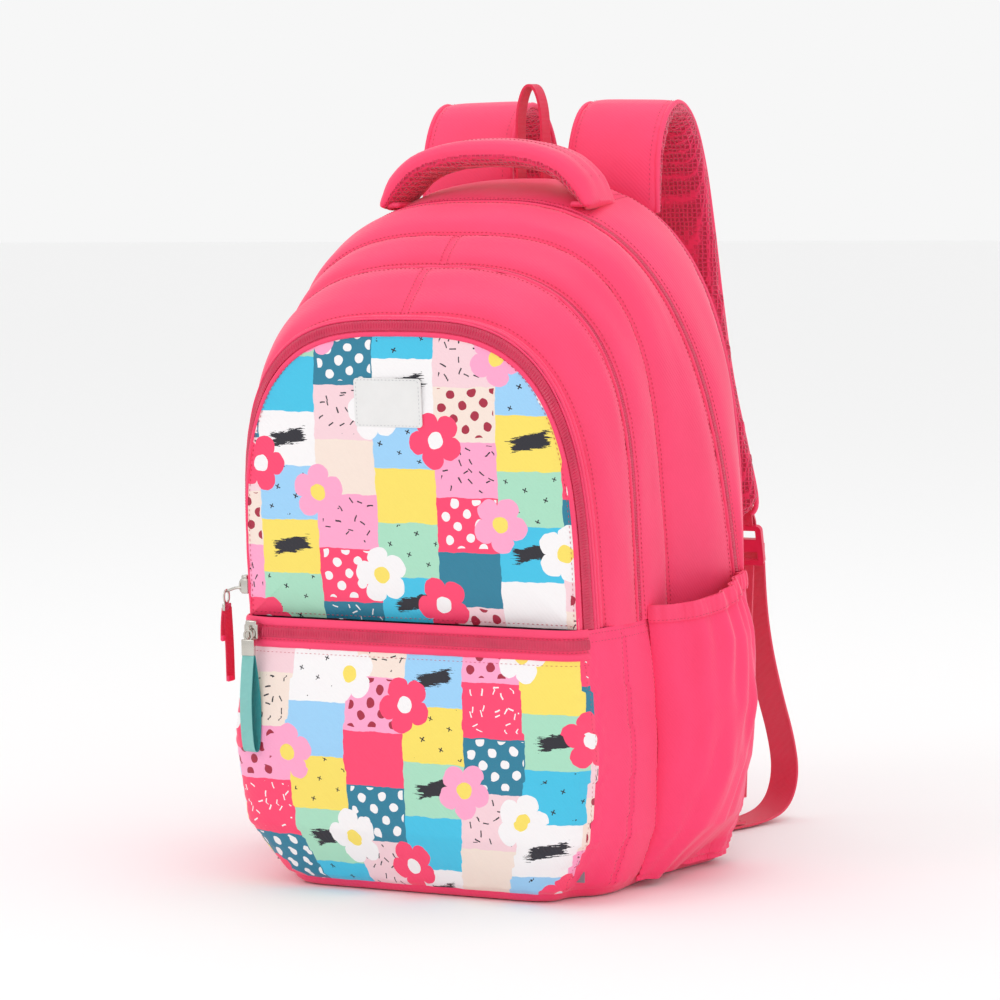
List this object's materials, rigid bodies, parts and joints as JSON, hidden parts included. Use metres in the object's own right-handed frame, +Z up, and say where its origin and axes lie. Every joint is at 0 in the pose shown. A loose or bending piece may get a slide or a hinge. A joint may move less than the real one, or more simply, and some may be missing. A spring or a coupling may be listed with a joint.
{
  "type": "school backpack",
  "caption": "Padded school backpack with nested zipped compartments, a printed front, side bottle pockets and padded shoulder straps.",
  "frame": {"origin": "middle of the underside of the base", "axes": "+Z up, the printed front faces -Y, +X is the viewer's right"},
  "size_m": [0.377, 0.389, 0.536],
  "materials": {
    "pink_twill": "woven polyester, hot pink",
    "pink_mesh": "honeycomb air mesh, deep pink",
    "printed_twill": "woven polyester with a printed patchwork",
    "pink_zip": "nylon coil on woven tape",
    "pink_webbing": "ribbed polyester webbing",
    "lining": "thin grey polyester lining",
    "foam": "closed cell foam",
    "board": "polyethylene stiffener board",
    "acetal": "moulded pink acetal",
    "nickel": "nickel plated zinc",
    "teal_ribbon": "woven ribbon, turquoise",
    "white_leatherette": "white coated patch, blank"
  },
  "bodies": {
    "bag": {"rear_gusset": "pink_twill", "main_zip": "pink_zip", "side_folds": "pink_twill", "lower_side_bands": "pink_twill", "lower_front_panel": "printed_twill", "pocket_zip": "pink_zip", "base_panel": "pink_twill", "base_board": "board", "pocket_back_wall": "lining", "laptop_sleeve": "lining", "back_board": "board", "back_foam": "foam", "back_mesh_pad": "pink_mesh", "strap_yoke": "pink_twill", "anchor_wings": "pink_twill", "side_pocket_left": "pink_twill", "side_pocket_right": "pink_twill", "pocket_hem_left": "pink_twill", "pocket_hem_right": "pink_twill", "hang_loop": "pink_twill", "handle_anchors": "pink_twill", "lower_webbing_left": "pink_webbing", "lower_webbing_right": "pink_webbing"},
    "main_lid": {"main_gusset": "pink_twill", "middle_gusset": "pink_twill", "main_divider": "lining", "mid_zip": "pink_zip"},
    "middle_lid": {"front_gusset": "pink_twill", "front_zip": "pink_zip", "middle_divider": "lining"},
    "front_flap": {"upper_front_panel": "printed_twill", "label_patch": "white_leatherette"},
    "handle": {"handle_cover": "pink_twill", "handle_foam": "foam", "handle_mesh": "pink_mesh"},
    "pocket_slider": {"pocket_slider": "nickel"},
    "pocket_pull": {"pocket_pull_clamp": "nickel", "pocket_pull_ribbon": "teal_ribbon"},
    "front_slider": {"front_slider": "nickel"},
    "front_pull": {"front_pull": "pink_twill"},
    "middle_slider": {"middle_slider": "nickel"},
    "middle_pull": {"middle_pull": "pink_twill"},
    "main_slider": {"main_slider": "nickel"},
    "main_pull": {"main_pull": "pink_twill"},
    "strap_left": {"strap_cover_left": "pink_twill", "strap_foam_left": "foam", "strap_mesh_left": "pink_mesh", "ladder_lock_left": "acetal", "lock_tab_left": "pink_webbing", "webbing_tail_left": "pink_webbing", "tail_fold_left": "pink_webbing"},
    "strap_right": {"strap_cover_right": "pink_twill", "strap_foam_right": "foam", "strap_mesh_right": "pink_mesh", "ladder_lock_right": "acetal", "lock_tab_right": "pink_webbing", "webbing_tail_right": "pink_webbing", "tail_fold_right": "pink_webbing"}
  },
  "joints": [
    {"name": "main_lid_fold", "type": "hinge", "parent": "bag", "child": "main_lid", "pos_m": [0, -0.107, 0.183], "axis": [1, 0, 0], "range_deg": [0, 30]},
    {"name": "middle_lid_fold", "type": "hinge", "parent": "main_lid", "child": "middle_lid", "pos_m": [0, -0.107, 0.183], "axis": [1, 0, 0], "range_deg": [0, 22]},
    {"name": "front_flap_fold", "type": "hinge", "parent": "middle_lid", "child": "front_flap", "pos_m": [0, -0.107, 0.183], "axis": [1, 0, 0], "range_deg": [0, 28]},
    {"name": "handle_flex", "type": "hinge", "parent": "bag", "child": "handle", "pos_m": [0, 0.046, 0.461], "axis": [1, 0, 0], "range_deg": [0, 8], "stiffness_Nm_per_rad": 0.4},
    {"name": "pocket_slider_run", "type": "slide", "parent": "bag", "child": "pocket_slider", "axis": [1, 0, 0], "range_m": [0, 0.225]},
    {"name": "pocket_pull_swing", "type": "hinge", "parent": "pocket_slider", "child": "pocket_pull", "pos_m": [-0.1125, -0.1108, 0.1685], "axis": [1, 0, 0], "range_deg": [-85, 0]},
    {"name": "front_slider_run", "type": "slide", "parent": "middle_lid", "child": "front_slider", "axis": [0, -0.1289, 0.9917], "range_m": [0, 0.065]},
    {"name": "front_pull_swing", "type": "hinge", "parent": "front_slider", "child": "front_pull", "pos_m": [-0.1467, -0.079, 0.197], "axis": [0, 1, 0], "range_deg": [0, 80]},
    {"name": "middle_slider_run", "type": "slide", "parent": "main_lid", "child": "middle_slider", "axis": [0, -0.0936, 0.9956], "range_m": [0, 0.1]},
    {"name": "middle_pull_swing", "type": "hinge", "parent": "middle_slider", "child": "middle_pull", "pos_m": [-0.1477, -0.034, 0.197], "axis": [0, 1, 0], "range_deg": [0, 80]},
    {"name": "main_slider_run", "type": "slide", "parent": "bag", "child": "main_slider", "axis": [0, -0.2534, 0.9674], "range_m": [-0.018, 0.02]},
    {"name": "main_pull_swing", "type": "hinge", "parent": "main_slider", "child": "main_pull", "pos_m": [-0.1701, 0.0575, 0.288], "axis": [0, 1, 0], "range_deg": [0, 80]},
    {"name": "strap_left_swing", "type": "hinge", "parent": "bag", "child": "strap_left", "pos_m": [-0.056, 0.113, 0.463], "axis": [1, 0, 0], "range_deg": [-8, 12], "stiffness_Nm_per_rad": 6, "deforming": ["lower_webbing_left"]},
    {"name": "strap_right_swing", "type": "hinge", "parent": "bag", "child": "strap_right", "pos_m": [0.056, 0.113, 0.463], "axis": [1, 0, 0], "range_deg": [-8, 12], "stiffness_Nm_per_rad": 6, "deforming": ["lower_webbing_right"]}
  ]
}
